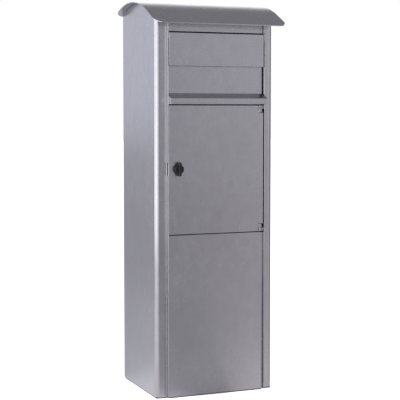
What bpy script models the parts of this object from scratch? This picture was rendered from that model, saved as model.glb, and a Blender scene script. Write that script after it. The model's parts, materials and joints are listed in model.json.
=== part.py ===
"""Parcel drop box: sheet-metal cabinet with an arched roof, a top-hung parcel hatch that carries a
letter flap, a sprung drop gate, and a side-hung collection door with a turn lock.

Metres, +Z up, front towards -Y, origin at the middle of the bounding box at floor level.
"""
import math

import bmesh
import bpy
from mathutils import Matrix, Vector

MM = 0.001

# Cabinet
SHEET = 2.0 * MM
BODY_HALF = 200.0 * MM
Y_STILE = -128.0 * MM
Y_BACK = 182.0 * MM
CORNER_R = 15.0 * MM
PANEL_HALF = 162.6 * MM
RIM_OUTER = 165.0 * MM
RIM_PROUD = 18.0 * MM
RIM_BEND_R = 2.5 * MM
REAR_FLANGE = 22.0 * MM
Z_SKIRT = 4.0 * MM
FIT = 0.4 * MM

# Roof
ROOF_HALF_X = 222.0 * MM
ROOF_HALF_Y = 193.0 * MM
ROOF_CREST_Y = 46.0 * MM
ROOF_CREST_Z = 1245.6 * MM
ROOF_R = 355.0 * MM
ROOF_SLOPE = 0.5
ROOF_T = 3.0 * MM
ROOF_CORNER_R = 30.0 * MM

# Front layout, heights from the floor
Z_LOWER_TOP = 512.7 * MM
Z_DOOR_LOW = 516.1 * MM
Z_DOOR_TOP = 917.9 * MM
Z_LIP_LOW = 920.7 * MM
Z_LIP_TOP = 939.7 * MM
Z_LEDGE = 955.0 * MM
Z_HATCH_LOW = 922.0 * MM
Z_FLAP_LOW = 1038.5 * MM
Z_HATCH_TOP = 1141.3 * MM
Z_HEADER_LOW = 1145.3 * MM

# Distances in front of the stile plane
FWD_HEADER = 4.0 * MM
FWD_HATCH = 3.0 * MM
FWD_FLAP = 18.0 * MM
FWD_LIP = 38.0 * MM
FWD_DOOR = 16.5 * MM
FWD_LOWER = 9.0 * MM

# Hatch and flap hinge
TOP_AXIS_Z = Z_HATCH_TOP - 7.0 * MM
TOP_AXIS_FWD = 11.0 * MM
HATCH_HALF = 160.5 * MM
SLOT_HALF = 140.0 * MM
SLOT_LOW = Z_FLAP_LOW + 20.0 * MM
SLOT_TOP = Z_FLAP_LOW + 56.0 * MM
ROD_R = 3.0 * MM
BUMPER_R = 4.0 * MM
BORE_R = 3.3 * MM

# Collection door
DOOR_X0 = -161.3 * MM
DOOR_X1 = 160.0 * MM
DOOR_AXIS_X = 151.5 * MM
DOOR_AXIS_FWD = 9.0 * MM
DOOR_HOLE_LOW = Z_DOOR_LOW + 13.3 * MM
DOOR_HOLE_TOP = Z_DOOR_TOP - 13.0 * MM
HINGE_NOTCH_X = 143.5 * MM
HINGE_NOTCH_H = 24.5 * MM
KNUCKLE_R = 7.0 * MM
KNUCKLE_H = 11.0 * MM

# Turn lock
LOCK_X = -131.0 * MM
LOCK_Z = 719.5 * MM
CAM_REACH = 36.5 * MM
RIM_SLOT_HALF = 19.5 * MM
DOOR_SLOT_HALF = 25.0 * MM

# Compartment and drop gate
Z_FLOOR = Z_LOWER_TOP - 4.3 * MM
GATE_AXIS_Y = 168.0 * MM
SILL_TOP = Z_LIP_LOW + 13.2 * MM
GATE_AXIS_Z = SILL_TOP - 64.0 * MM
GATE_FRONT_Y = 70.0 * MM
GATE_HALF = 186.0 * MM

STEEL = (0.52, 0.52, 0.55)
STEEL_INNER = (0.45, 0.45, 0.47)
ZINC = (0.60, 0.61, 0.62)
BLACK = (0.025, 0.025, 0.028)
RUBBER = (0.03, 0.03, 0.03)

# Point in space from a place (a, b) across an axis and a level c along it
PLACE = {
    "X": lambda a, b, c: (c, a, b),
    "Y": lambda a, b, c: (a, c, b),
    "Z": lambda a, b, c: (a, b, c),
}

# Hidden Boolean bodies, listed by the object that they shape
TOOLS = {}


def fwd(distance):
    """Y of a plane a given distance in front of the stiles."""
    return Y_STILE - distance


def clear_scene():
    for item in list(bpy.data.objects):
        bpy.data.objects.remove(item, do_unlink=True)


def material(name, colour, metallic, roughness):
    mat = bpy.data.materials.new(name)
    mat.use_nodes = True
    shader = mat.node_tree.nodes["Principled BSDF"]
    shader.inputs["Base Color"].default_value = (*colour, 1.0)
    shader.inputs["Metallic"].default_value = metallic
    shader.inputs["Roughness"].default_value = roughness
    return mat


def steel(obj, colour=STEEL, roughness=0.35):
    obj.data.materials.append(material(obj.name, colour, 1.0, roughness))
    return obj


def plastic(obj, colour=BLACK, roughness=0.4):
    obj.data.materials.append(material(obj.name, colour, 0.0, roughness))
    return obj


def mesh_object(name, verts, faces):
    mesh = bpy.data.meshes.new(name)
    bm = bmesh.new()
    made = [bm.verts.new(v) for v in verts]
    for face in faces:
        bm.faces.new([made[i] for i in face])
    bmesh.ops.recalc_face_normals(bm, faces=bm.faces)
    bm.to_mesh(mesh)
    bm.free()
    obj = bpy.data.objects.new(name, mesh)
    bpy.context.scene.collection.objects.link(obj)
    return obj


def prism(name, outline, low, high, axis):
    """Extrude a closed 2-D outline along X, Y or Z."""
    place = PLACE[axis]
    count = len(outline)
    verts = [place(a, b, low) for a, b in outline] + [place(a, b, high) for a, b in outline]
    faces = [tuple(range(count)), tuple(range(count, 2 * count))]
    for i in range(count):
        j = (i + 1) % count
        faces.append((i, j, count + j, count + i))
    return mesh_object(name, verts, faces)


def box(name, x, y, z):
    return prism(name, [(x[0], y[0]), (x[1], y[0]), (x[1], y[1]), (x[0], y[1])], z[0], z[1], "Z")


def circle(centre, radius, count=32, start=0.0, sweep=2 * math.pi, closed=True):
    steps = count if closed else count + 1
    points = []
    for i in range(steps):
        angle = start + sweep * i / count
        points.append((centre[0] + radius * math.cos(angle), centre[1] + radius * math.sin(angle)))
    return points


def cylinder(name, centre, radius, low, high, axis, count=24):
    return smooth(prism(name, circle(centre, radius, count), low, high, axis))


def tube(name, centre, outer, inner, low, high, axis, count=32):
    """Cylinder with a round bore, both walls built directly."""
    place = PLACE[axis]
    verts = []
    for radius in (outer, inner):
        for level in (low, high):
            verts += [place(a, b, level) for a, b in circle(centre, radius, count)]
    faces = []
    for i in range(count):
        j = (i + 1) % count
        out_low, out_high, in_low, in_high = 0, count, 2 * count, 3 * count
        faces.append((out_low + i, out_low + j, out_high + j, out_high + i))
        faces.append((in_low + i, in_low + j, in_high + j, in_high + i))
        faces.append((out_low + i, out_low + j, in_low + j, in_low + i))
        faces.append((out_high + i, out_high + j, in_high + j, in_high + i))
    return smooth(mesh_object(name, verts, faces))


def smooth(obj, limit=math.radians(35)):
    for polygon in obj.data.polygons:
        polygon.use_smooth = True
    bm = bmesh.new()
    bm.from_mesh(obj.data)
    for edge in bm.edges:
        if len(edge.link_faces) == 2 and edge.calc_face_angle() > limit:
            edge.smooth = False
    bm.to_mesh(obj.data)
    bm.free()
    return obj


def tray(name, x, y, z, thickness=SHEET):
    """Five-sided sheet pan whose face is at y[0] and whose back, at y[1], is open."""
    verts = []
    for inset, level in ((0.0, y[0]), (0.0, y[1]), (thickness, y[1]), (thickness, y[0] + thickness)):
        x0, x1 = x[0] + inset, x[1] - inset
        z0, z1 = z[0] + inset, z[1] - inset
        verts += [(x0, level, z0), (x1, level, z0), (x1, level, z1), (x0, level, z1)]
    faces = [(0, 1, 2, 3), (12, 13, 14, 15)]
    for ring in (0, 4, 8):
        for i in range(4):
            j = (i + 1) % 4
            faces.append((ring + i, ring + j, ring + 4 + j, ring + 4 + i))
    return mesh_object(name, verts, faces)


def bevel(obj, width, segments=2, angle=40):
    mod = obj.modifiers.new("bevel", "BEVEL")
    mod.width = width
    mod.segments = segments
    mod.limit_method = "ANGLE"
    mod.angle_limit = math.radians(angle)
    return obj


def combine(obj, tool, operation="DIFFERENCE"):
    """Boolean with a hidden tool body that stays in the file."""
    tool.hide_render = True
    tool.display_type = "WIRE"
    mod = obj.modifiers.new(operation.lower(), "BOOLEAN")
    mod.operation = operation
    mod.solver = "EXACT"
    mod.object = tool
    TOOLS.setdefault(obj.name, []).append(tool)
    return obj


def roof_top(y):
    """Height of the roof's outer surface at a given depth."""
    sine = ROOF_SLOPE / math.sqrt(1.0 + ROOF_SLOPE ** 2)
    tangent_y = ROOF_CREST_Y - sine * ROOF_R
    centre_z = ROOF_CREST_Z - ROOF_R
    if y >= tangent_y:
        return centre_z + math.sqrt(ROOF_R ** 2 - (y - ROOF_CREST_Y) ** 2)
    tangent_z = centre_z + math.sqrt(ROOF_R ** 2 - (tangent_y - ROOF_CREST_Y) ** 2)
    return tangent_z - ROOF_SLOPE * (tangent_y - y)


def roof_normal(y):
    sine = ROOF_SLOPE / math.sqrt(1.0 + ROOF_SLOPE ** 2)
    tilt = max((y - ROOF_CREST_Y) / ROOF_R, -sine)
    return tilt, math.sqrt(1.0 - tilt ** 2)


def roof_under(y):
    """Height of the roof's inner surface at a given depth."""
    sine = ROOF_SLOPE / math.sqrt(1.0 + ROOF_SLOPE ** 2)
    inner_r = ROOF_R - ROOF_T
    tangent_y = ROOF_CREST_Y - sine * inner_r
    centre_z = ROOF_CREST_Z - ROOF_R
    if y >= tangent_y:
        return centre_z + math.sqrt(inner_r ** 2 - (y - ROOF_CREST_Y) ** 2)
    tangent_z = centre_z + math.sqrt(inner_r ** 2 - (tangent_y - ROOF_CREST_Y) ** 2)
    return tangent_z - ROOF_SLOPE * (tangent_y - y)


# ---------------------------------------------------------------- cabinet

def fillet(points, radii, steps=6):
    """Stations (point, normal) along a polyline whose corners are rounded."""
    stations = []
    count = len(points)
    for i, point in enumerate(points):
        here = Vector(point)
        if i in (0, count - 1):
            other = Vector(points[1] if i == 0 else points[-2])
            along = (other - here) if i == 0 else (here - other)
            along.normalize()
            stations.append((here, Vector((-along.y, along.x))))
            continue
        into = (here - Vector(points[i - 1])).normalized()
        out = (Vector(points[i + 1]) - here).normalized()
        turn = math.atan2(into.x * out.y - into.y * out.x, into.dot(out))
        radius = radii[i]
        back = radius * math.tan(abs(turn) / 2)
        normal = Vector((-into.y, into.x))
        side = 1.0 if turn > 0 else -1.0
        centre = here - into * back + normal * radius * side
        for k in range(steps + 1):
            angle = turn * k / steps
            rotated = Matrix.Rotation(angle, 2) @ normal
            stations.append((centre - rotated * radius * side, rotated))
    return stations


def side_shell(name, sign):
    """Side wall, rounded front corner, stile and forward-turned rim, folded from one sheet."""
    half = SHEET / 2
    path = [
        (BODY_HALF - REAR_FLANGE, Y_BACK - half),
        (BODY_HALF - half, Y_BACK - half),
        (BODY_HALF - half, Y_STILE + half),
        (RIM_OUTER - half, Y_STILE + half),
        (RIM_OUTER - half, fwd(RIM_PROUD)),
    ]
    wall = fillet(path, [0.0, 2.5 * MM, CORNER_R - half, RIM_BEND_R, 0.0])
    stations = [wall[0]]
    for station in wall[1:]:
        last = stations[-1][0]
        gap = (station[0] - last).length
        pieces = max(1, math.ceil(gap / (24 * MM))) if abs(station[0].x - last.x) < 1e-9 else 1
        for k in range(1, pieces):
            stations.append((last.lerp(station[0], k / pieces), station[1]))
        stations.append(station)
    verts = []
    for point, normal in stations:
        for edge in (point + normal * half, point - normal * half):
            verts.append((sign * edge.x, edge.y, Z_SKIRT))
            verts.append((sign * edge.x, edge.y, roof_under(edge.y) - FIT))
    faces = [(0, 1, 3, 2)]
    for i in range(len(stations) - 1):
        a, b = 4 * i, 4 * (i + 1)
        faces += [(a, b, b + 1, a + 1), (a + 2, a + 3, b + 3, b + 2)]
        faces += [(a, a + 2, b + 2, b), (a + 1, b + 1, b + 3, a + 3)]
    last = 4 * (len(stations) - 1)
    faces.append((last, last + 2, last + 3, last + 1))
    obj = smooth(mesh_object(name, verts, faces))
    return steel(obj)


def left_side_shell():
    obj = side_shell("side_shell_left", -1.0)
    slot = box("cut_rim_slot", (-RIM_OUTER - 3 * MM, -RIM_OUTER + 5 * MM), (fwd(11.5 * MM), fwd(4.5 * MM)),
               (LOCK_Z - RIM_SLOT_HALF, LOCK_Z + RIM_SLOT_HALF))
    return combine(obj, slot)


def back_panel():
    top = roof_under(Y_BACK - 2.4 * MM) - FIT - 0.4 * MM
    obj = box("back_panel", (-BODY_HALF + 4 * MM, BODY_HALF - 4 * MM),
              (Y_BACK - 4.4 * MM, Y_BACK - 2.4 * MM), (Z_SKIRT + 0.5 * MM, top))
    return steel(obj, STEEL_INNER)


def base_plate():
    edge = BODY_HALF - 3 * MM
    tongue = RIM_OUTER - 5 * MM
    outline = [(-edge, Y_BACK - 5 * MM), (-edge, Y_STILE + 3 * MM), (-tongue, Y_STILE + 3 * MM),
               (-tongue, fwd(6 * MM)), (tongue, fwd(6 * MM)), (tongue, Y_STILE + 3 * MM),
               (edge, Y_STILE + 3 * MM), (edge, Y_BACK - 5 * MM)]
    return steel(prism("base_plate", outline, 0.0, Z_SKIRT - 0.4 * MM, "Z"), (0.20, 0.20, 0.21), 0.6)


def lower_panel():
    obj = tray("lower_panel", (-PANEL_HALF, PANEL_HALF), (fwd(FWD_LOWER), Y_STILE + 8 * MM),
               (Z_SKIRT, Z_LOWER_TOP))
    return steel(obj)


def header_panel():
    top = roof_under(fwd(FWD_HEADER)) - 1.5 * MM
    obj = tray("header_panel", (-PANEL_HALF, PANEL_HALF), (fwd(FWD_HEADER), Y_STILE + 12 * MM),
               (Z_HEADER_LOW, top))
    return steel(obj)


def roof_sheet():
    straight = ROOF_HALF_Y - ROOF_CORNER_R
    depths = [-ROOF_HALF_Y + ROOF_CORNER_R * (1 - math.cos(math.radians(a))) for a in range(0, 90, 10)]
    depths += [-straight + 2 * straight * k / 24 for k in range(25)]
    depths += [-d for d in reversed(depths[:9])]
    verts = []
    for y in depths:
        over = max(0.0, abs(y) - straight)
        reach = ROOF_HALF_X - ROOF_CORNER_R + math.sqrt(max(0.0, ROOF_CORNER_R ** 2 - over ** 2))
        ny, nz = roof_normal(y)
        z = roof_top(y)
        verts += [(-reach, y, z), (reach, y, z)]
        verts += [(-reach, y - ny * ROOF_T, z - nz * ROOF_T), (reach, y - ny * ROOF_T, z - nz * ROOF_T)]
    faces = [(0, 1, 3, 2)]
    for i in range(len(depths) - 1):
        a, b = 4 * i, 4 * (i + 1)
        faces += [(a, a + 1, b + 1, b), (a + 2, b + 2, b + 3, a + 3)]
        faces += [(a, b, b + 2, a + 2), (a + 1, a + 3, b + 3, b + 1)]
    last = 4 * (len(depths) - 1)
    faces.append((last, last + 2, last + 3, last + 1))
    obj = smooth(mesh_object("roof_sheet", verts, faces))
    return steel(obj)


def roof_bearer(name, y0, y1):
    """Cross bar that the roof is screwed down to."""
    high0 = roof_under(y0) - 0.6 * MM
    high1 = roof_under(y1) - 0.6 * MM
    low = min(high0, high1) - 18 * MM
    outline = [(y0, low), (y1, low), (y1, high1), (y0, high0)]
    edge = BODY_HALF - 2.5 * MM
    return steel(prism(name, outline, -edge, edge, "X"), ZINC, 0.5)


def compartment_floor():
    edge = BODY_HALF - 2.5 * MM
    front, rear = Y_STILE + 8.4 * MM, Y_BACK - 4.8 * MM
    outline = [(-edge + 8 * MM, front), (edge - 8 * MM, front), (edge, front + 9 * MM),
               (edge, rear), (-edge, rear), (-edge, front + 9 * MM)]
    return steel(prism("compartment_floor", outline, Z_FLOOR - SHEET, Z_FLOOR, "Z"), STEEL_INNER)


def door_frame():
    """Flat ring behind the door that its edges close towards."""
    outer = box("door_frame", (-PANEL_HALF, PANEL_HALF), (Y_STILE + 5 * MM, Y_STILE + 7 * MM),
                (Z_LOWER_TOP + 0.5 * MM, Z_DOOR_TOP + 1 * MM))
    hole = box("cut_door_frame", (-146 * MM, 138 * MM), (Y_STILE, Y_STILE + 12 * MM),
               (DOOR_HOLE_LOW, DOOR_HOLE_TOP))
    return steel(combine(outer, hole), STEEL_INNER)


def mid_rail():
    """Channel between door and hatch; the hatch shuts on it and the chute starts from it."""
    y0, y1 = Y_STILE + 11 * MM, Y_STILE + 33 * MM
    z0 = SILL_TOP - 32 * MM
    outline = [(y0, z0), (y0 + SHEET, z0), (y0 + SHEET, SILL_TOP - SHEET), (y1 - SHEET, SILL_TOP - SHEET),
               (y1 - SHEET, z0), (y1, z0), (y1, SILL_TOP), (y0, SILL_TOP)]
    edge = BODY_HALF - 3.5 * MM
    return steel(prism("mid_rail", outline, -edge, edge, "X"), STEEL_INNER)


def chute_plate():
    """Fixed slope that leads from the hatch to the drop gate."""
    y0, z0 = Y_STILE + 12 * MM, SILL_TOP + 0.4 * MM
    y1 = Y_STILE + 34 * MM
    y2, z2 = GATE_FRONT_Y - 3 * MM, GATE_AXIS_Z + 2 * MM
    outline = [(y0, z0), (y1, z0), (y2, z2), (y2, z2 + SHEET), (y1, z0 + SHEET), (y0, z0 + SHEET)]
    edge = BODY_HALF - 3 * MM
    return steel(prism("chute_plate", outline, -edge, edge, "X"), STEEL_INNER)


def guard_comb():
    """Toothed strip under the chute's rear edge that stops a hand or a hook reaching back up."""
    pitch = 24 * MM
    teeth = 15
    left = -pitch * teeth / 2
    top = GATE_AXIS_Z - 3 * MM
    root = top - 12 * MM
    tip = top - 34 * MM
    outline = [(left, top), (left, root)]
    for k in range(teeth):
        x = left + pitch * k
        outline += [(x + 4 * MM, root), (x + 9 * MM, tip), (x + 15 * MM, tip), (x + 20 * MM, root)]
    outline += [(-left, root), (-left, top)]
    y = GATE_FRONT_Y - 8 * MM
    return steel(prism("guard_comb", outline, y, y + SHEET, "Y"), ZINC, 0.45)


# ---------------------------------------------------------------- drop gate

def drop_gate():
    axis = (GATE_AXIS_Y, GATE_AXIS_Z)
    obj = cylinder("drop_gate", axis, 6 * MM, -GATE_HALF, GATE_HALF, "X")
    plate = [(GATE_FRONT_Y, GATE_AXIS_Z - 1 * MM), (GATE_AXIS_Y, GATE_AXIS_Z - 1 * MM),
             (GATE_AXIS_Y, GATE_AXIS_Z + 1 * MM), (GATE_FRONT_Y, GATE_AXIS_Z + 1 * MM)]
    combine(obj, prism("add_gate_plate", plate, -GATE_HALF, GATE_HALF, "X"), "UNION")
    combine(obj, cylinder("cut_gate_bore", axis, BORE_R, -200 * MM, 200 * MM, "X"))
    window = box("cut_gate_window", (-20 * MM, 20 * MM), (GATE_AXIS_Y - 9 * MM, GATE_AXIS_Y + 9 * MM),
                 (GATE_AXIS_Z - 9 * MM, GATE_AXIS_Z + 9 * MM))
    combine(obj, window)
    return steel(obj, STEEL_INNER)


def gate_rod():
    axis = (GATE_AXIS_Y, GATE_AXIS_Z)
    return steel(cylinder("gate_rod", axis, ROD_R, -194 * MM, 194 * MM, "X"), ZINC, 0.3)


def gate_bracket(name, sign):
    axis = (GATE_AXIS_Y, GATE_AXIS_Z)
    rear = Y_BACK - 4.8 * MM
    outline = [(rear, GATE_AXIS_Z - 14 * MM), (rear, GATE_AXIS_Z + 14 * MM)]
    outline += circle(axis, 7 * MM, 12, math.radians(90), math.radians(180), closed=False)
    low, high = sorted((sign * 188 * MM, sign * 191 * MM))
    obj = prism(name, outline, low, high, "X")
    bore = cylinder("cut_" + name, axis, BORE_R, low - 3 * MM, high + 3 * MM, "X")
    return steel(combine(obj, bore), ZINC, 0.45)


def coil(name, centre, mean_r, wire_r, x0, x1, turns, per_turn=14, sides=5):
    """Coiled wire along X with flat ends."""
    total = turns * per_turn
    verts = []
    for i in range(total + 1):
        angle = 2 * math.pi * i / per_turn
        along = x0 + (x1 - x0) * i / total
        out = Vector((0.0, math.cos(angle), math.sin(angle)))
        point = Vector((along, centre[0], centre[1])) + out * mean_r
        for k in range(sides):
            turn = 2 * math.pi * k / sides
            verts.append(point + out * wire_r * math.cos(turn) + Vector((wire_r * math.sin(turn), 0, 0)))
    faces = [tuple(range(sides)), tuple(range(total * sides, (total + 1) * sides))]
    for i in range(total):
        for k in range(sides):
            n = (k + 1) % sides
            faces.append((i * sides + k, i * sides + n, (i + 1) * sides + n, (i + 1) * sides + k))
    return smooth(mesh_object(name, verts, faces), math.radians(65))


def gate_spring():
    obj = coil("gate_spring", (GATE_AXIS_Y, GATE_AXIS_Z), 4.4 * MM, 0.8 * MM, -17 * MM, 17 * MM, 8)
    return steel(obj, ZINC, 0.3)


# ---------------------------------------------------------------- hatch

def hatch_panel():
    obj = tray("hatch_panel", (-HATCH_HALF, HATCH_HALF), (fwd(FWD_HATCH), Y_STILE + 9 * MM),
               (Z_HATCH_LOW, Z_HATCH_TOP))
    slot = box("cut_letter_slot", (-SLOT_HALF, SLOT_HALF), (fwd(8 * MM), Y_STILE + 4 * MM),
               (SLOT_LOW, SLOT_TOP))
    return steel(combine(obj, slot))


def lip_height(distance):
    """Height of the ledge's upper surface at a distance in front of the stiles."""
    run = FWD_LIP - FWD_HATCH
    return Z_LEDGE - (Z_LEDGE - Z_LIP_TOP) * (distance - FWD_HATCH) / run


def grip_rail():
    """Sloping ledge and drip lip along the hatch's lower edge, open underneath for the fingers."""
    near = FWD_HATCH + 0.3 * MM
    nose = FWD_LIP - 1 * MM
    hem = FWD_LIP - 7 * MM
    back = FWD_LIP - 2 * MM
    outline = [(fwd(near), lip_height(near)), (fwd(nose), lip_height(nose)),
               (fwd(FWD_LIP), Z_LIP_TOP - 1 * MM), (fwd(FWD_LIP), Z_LIP_LOW), (fwd(hem), Z_LIP_LOW),
               (fwd(hem), Z_LIP_LOW + SHEET), (fwd(back), Z_LIP_LOW + SHEET),
               (fwd(back), lip_height(back) - 2.2 * MM), (fwd(near), lip_height(near) - 2.2 * MM)]
    edge = HATCH_HALF - 0.5 * MM
    return steel(prism("grip_rail", outline, -edge, edge, "X"))


def grip_end(name, sign):
    """Plate that closes one end of the lip, in front of the rim."""
    step = RIM_PROUD + 1.3 * MM
    nose = FWD_LIP - 1 * MM
    outline = [(fwd(step), lip_height(step)), (fwd(nose), lip_height(nose)),
               (fwd(FWD_LIP), Z_LIP_TOP - 1 * MM), (fwd(FWD_LIP), Z_LIP_LOW), (fwd(step), Z_LIP_LOW)]
    low, high = sorted((sign * (HATCH_HALF - 0.2 * MM), sign * (RIM_OUTER - 0.5 * MM)))
    return steel(prism(name, outline, low, high, "X"))


def hatch_ear(name, sign):
    """Arm from the hatch sheet forward to the hinge rod."""
    axis = (fwd(TOP_AXIS_FWD), TOP_AXIS_Z)
    rear = fwd(FWD_HATCH + 0.3 * MM)
    outline = [(rear, TOP_AXIS_Z - 4.6 * MM), (rear, TOP_AXIS_Z + 4.6 * MM)]
    outline += circle(axis, 4.6 * MM, 16, math.radians(90), math.radians(180), closed=False)
    low, high = sorted((sign * 148 * MM, sign * 151 * MM))
    obj = prism(name, outline, low, high, "X")
    bore = cylinder("cut_" + name, axis, BORE_R, low - 2 * MM, high + 2 * MM, "X")
    return steel(combine(obj, bore), ZINC, 0.45)


def hatch_rod():
    axis = (fwd(TOP_AXIS_FWD), TOP_AXIS_Z)
    return steel(cylinder("hatch_rod", axis, ROD_R, -162.5 * MM, 162.5 * MM, "X"), ZINC, 0.3)


def pivot_plate(name, sign):
    """Plate on the rim's inner face that carries one end of the hinge rod."""
    axis = (fwd(TOP_AXIS_FWD), TOP_AXIS_Z)
    low, high = sorted((sign * 161 * MM, sign * PANEL_HALF))
    obj = box(name, (low, high), (fwd(17 * MM), Y_STILE + 6 * MM),
              (TOP_AXIS_Z - 14.5 * MM, Z_HEADER_LOW - 0.7 * MM))
    bore = cylinder("cut_" + name, axis, BORE_R, low - 2 * MM, high + 2 * MM, "X")
    return steel(combine(obj, bore), ZINC, 0.45)


def hatch_spring():
    axis = (fwd(TOP_AXIS_FWD), TOP_AXIS_Z)
    obj = coil("hatch_spring", axis, 3.95 * MM, 0.6 * MM, -146 * MM, -118 * MM, 10)
    return steel(obj, ZINC, 0.3)


def button(name, centre, y0, y1):
    """Round rubber stop, axis along Y."""
    return plastic(cylinder(name, centre, BUMPER_R, y0, y1, "Y", 20), RUBBER, 0.7)


# ---------------------------------------------------------------- letter flap

def letter_flap():
    half = 160.3 * MM
    rear = fwd(5.6 * MM)
    obj = tray("letter_flap", (-half, half), (fwd(FWD_FLAP), rear), (Z_FLAP_LOW, Z_HATCH_TOP - 0.3 * MM))
    relief = box("cut_flap_relief", (-half - 2 * MM, half + 2 * MM), (fwd(FWD_FLAP - SHEET), rear + 3 * MM),
                 (TOP_AXIS_Z + 4.0 * MM, Z_HATCH_TOP + 3 * MM))
    combine(obj, relief)
    axis = (fwd(TOP_AXIS_FWD), TOP_AXIS_Z)
    combine(obj, cylinder("cut_flap_bore", axis, BORE_R, -half - 3 * MM, half + 3 * MM, "X"))
    return steel(obj)


# ---------------------------------------------------------------- collection door

def door_panel():
    obj = tray("door_panel", (DOOR_X0, DOOR_X1), (fwd(FWD_DOOR), fwd(1.5 * MM)), (Z_DOOR_LOW, Z_DOOR_TOP))
    for level, z0, z1 in (("low", Z_DOOR_LOW - 2 * MM, Z_DOOR_LOW + HINGE_NOTCH_H),
                          ("high", Z_DOOR_TOP - HINGE_NOTCH_H, Z_DOOR_TOP + 2 * MM)):
        notch = box("cut_door_notch_" + level, (HINGE_NOTCH_X, DOOR_X1 + 3 * MM),
                    (fwd(FWD_DOOR + 3 * MM), Y_STILE + 3 * MM), (z0, z1))
        combine(obj, notch)
    hole = cylinder("cut_door_lock", (LOCK_X, LOCK_Z), 9.3 * MM, fwd(FWD_DOOR + 2 * MM), fwd(12 * MM), "Y")
    combine(obj, hole)
    slot = box("cut_door_cam_slot", (DOOR_X0 - 2 * MM, DOOR_X0 + 4 * MM), (fwd(10.5 * MM), fwd(5.5 * MM)),
               (LOCK_Z - DOOR_SLOT_HALF, LOCK_Z + DOOR_SLOT_HALF))
    combine(obj, slot)
    return steel(obj)


def door_stiffener():
    """Upright channel against the back of the door's face."""
    front, rear = fwd(FWD_DOOR - SHEET - 0.3 * MM), fwd(2.5 * MM)
    t = 1.5 * MM
    outline = [(-25 * MM, front), (25 * MM, front), (25 * MM, rear), (25 * MM - t, rear),
               (25 * MM - t, front + t), (-25 * MM + t, front + t), (-25 * MM + t, rear), (-25 * MM, rear)]
    return steel(prism("door_stiffener", outline, DOOR_HOLE_LOW, DOOR_HOLE_TOP, "Z"), ZINC, 0.5)


def door_knuckle(name, z0):
    """Bored knuckle with an arm that reaches in behind the door's face."""
    centre = (DOOR_AXIS_X, fwd(DOOR_AXIS_FWD))
    obj = cylinder(name, centre, KNUCKLE_R, z0, z0 + KNUCKLE_H, "Z")
    arm = box("add_" + name, (118 * MM, DOOR_AXIS_X - 4 * MM),
              (fwd(13.5 * MM), fwd(5 * MM)), (z0, z0 + KNUCKLE_H))
    combine(obj, arm, "UNION")
    bore = cylinder("cut_" + name, centre, BORE_R, z0 - 2 * MM, z0 + KNUCKLE_H + 2 * MM, "Z")
    return steel(combine(obj, bore), ZINC, 0.4)


def hinge_bracket(name, z0, pin_low, pin_high):
    """Fixed knuckle with its pin, and an arm out to the rim's inner face."""
    centre = (DOOR_AXIS_X, fwd(DOOR_AXIS_FWD))
    obj = cylinder(name, centre, KNUCKLE_R, z0, z0 + KNUCKLE_H, "Z")
    arm = box("add_" + name + "_arm", (DOOR_AXIS_X + 3 * MM, 162.6 * MM),
              (fwd(12 * MM), fwd(6 * MM)), (z0, z0 + KNUCKLE_H))
    combine(obj, arm, "UNION")
    pin = cylinder("add_" + name + "_pin", centre, ROD_R, pin_low, pin_high, "Z")
    combine(obj, pin, "UNION")
    return steel(obj, ZINC, 0.4)


# ---------------------------------------------------------------- turn lock

def lock_escutcheon():
    obj = tube("lock_escutcheon", (LOCK_X, LOCK_Z), 17 * MM, 4.6 * MM,
               fwd(FWD_DOOR + 4.3 * MM), fwd(FWD_DOOR + 0.3 * MM), "Y", 40)
    return plastic(bevel(obj, 1.0 * MM))


def lock_barrel():
    obj = tube("lock_barrel", (LOCK_X, LOCK_Z), 9.0 * MM, 4.4 * MM, fwd(FWD_DOOR), fwd(9.9 * MM), "Y")
    return steel(obj, ZINC, 0.35)


def lock_nut():
    centre = (LOCK_X, LOCK_Z)
    obj = prism("lock_nut", circle(centre, 14.0 * MM, 6), fwd(14.2 * MM), fwd(10.4 * MM), "Y")
    bore = cylinder("cut_lock_nut", centre, 9.3 * MM, fwd(16 * MM), fwd(9 * MM), "Y")
    return steel(combine(obj, bore), ZINC, 0.35)


def lock_knob():
    """Round knob with an upright wing, and the spindle behind it."""
    centre = (LOCK_X, LOCK_Z)
    back = FWD_DOOR + 4.6 * MM
    obj = cylinder("lock_knob", centre, 14.5 * MM, fwd(back + 9 * MM), fwd(back), "Y", 40)
    half_w, half_h = 4.8 * MM, 22.0 * MM
    wing = circle((LOCK_X, LOCK_Z + half_h - half_w), half_w, 12, 0.0, math.pi, closed=False)
    wing += circle((LOCK_X, LOCK_Z - half_h + half_w), half_w, 12, math.pi, math.pi, closed=False)
    combine(obj, prism("add_lock_wing", wing, fwd(back + 16 * MM), fwd(back + 2 * MM), "Y"), "UNION")
    spindle = cylinder("add_lock_spindle", centre, 4.0 * MM, fwd(back + 3 * MM), fwd(5.5 * MM), "Y", 24)
    combine(obj, spindle, "UNION")
    return plastic(obj)


def lock_cam():
    """Flat tongue on the spindle; upright when unlocked, through the rim's slot when locked."""
    half = 6.0 * MM
    centre = (LOCK_X, LOCK_Z)
    outline = circle(centre, 9.0 * MM, 20, math.radians(140), math.radians(260), closed=False)
    outline += [(LOCK_X + half, LOCK_Z + CAM_REACH - 2 * MM), (LOCK_X + half - 2 * MM, LOCK_Z + CAM_REACH),
                (LOCK_X - half + 2 * MM, LOCK_Z + CAM_REACH), (LOCK_X - half, LOCK_Z + CAM_REACH - 2 * MM)]
    obj = prism("lock_cam", outline, fwd(9.5 * MM), fwd(6.5 * MM), "Y")
    bore = cylinder("cut_lock_cam", centre, 4.3 * MM, fwd(12 * MM), fwd(4 * MM), "Y", 24)
    return steel(combine(obj, bore), ZINC, 0.4)


# ---------------------------------------------------------------- assembly

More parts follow.
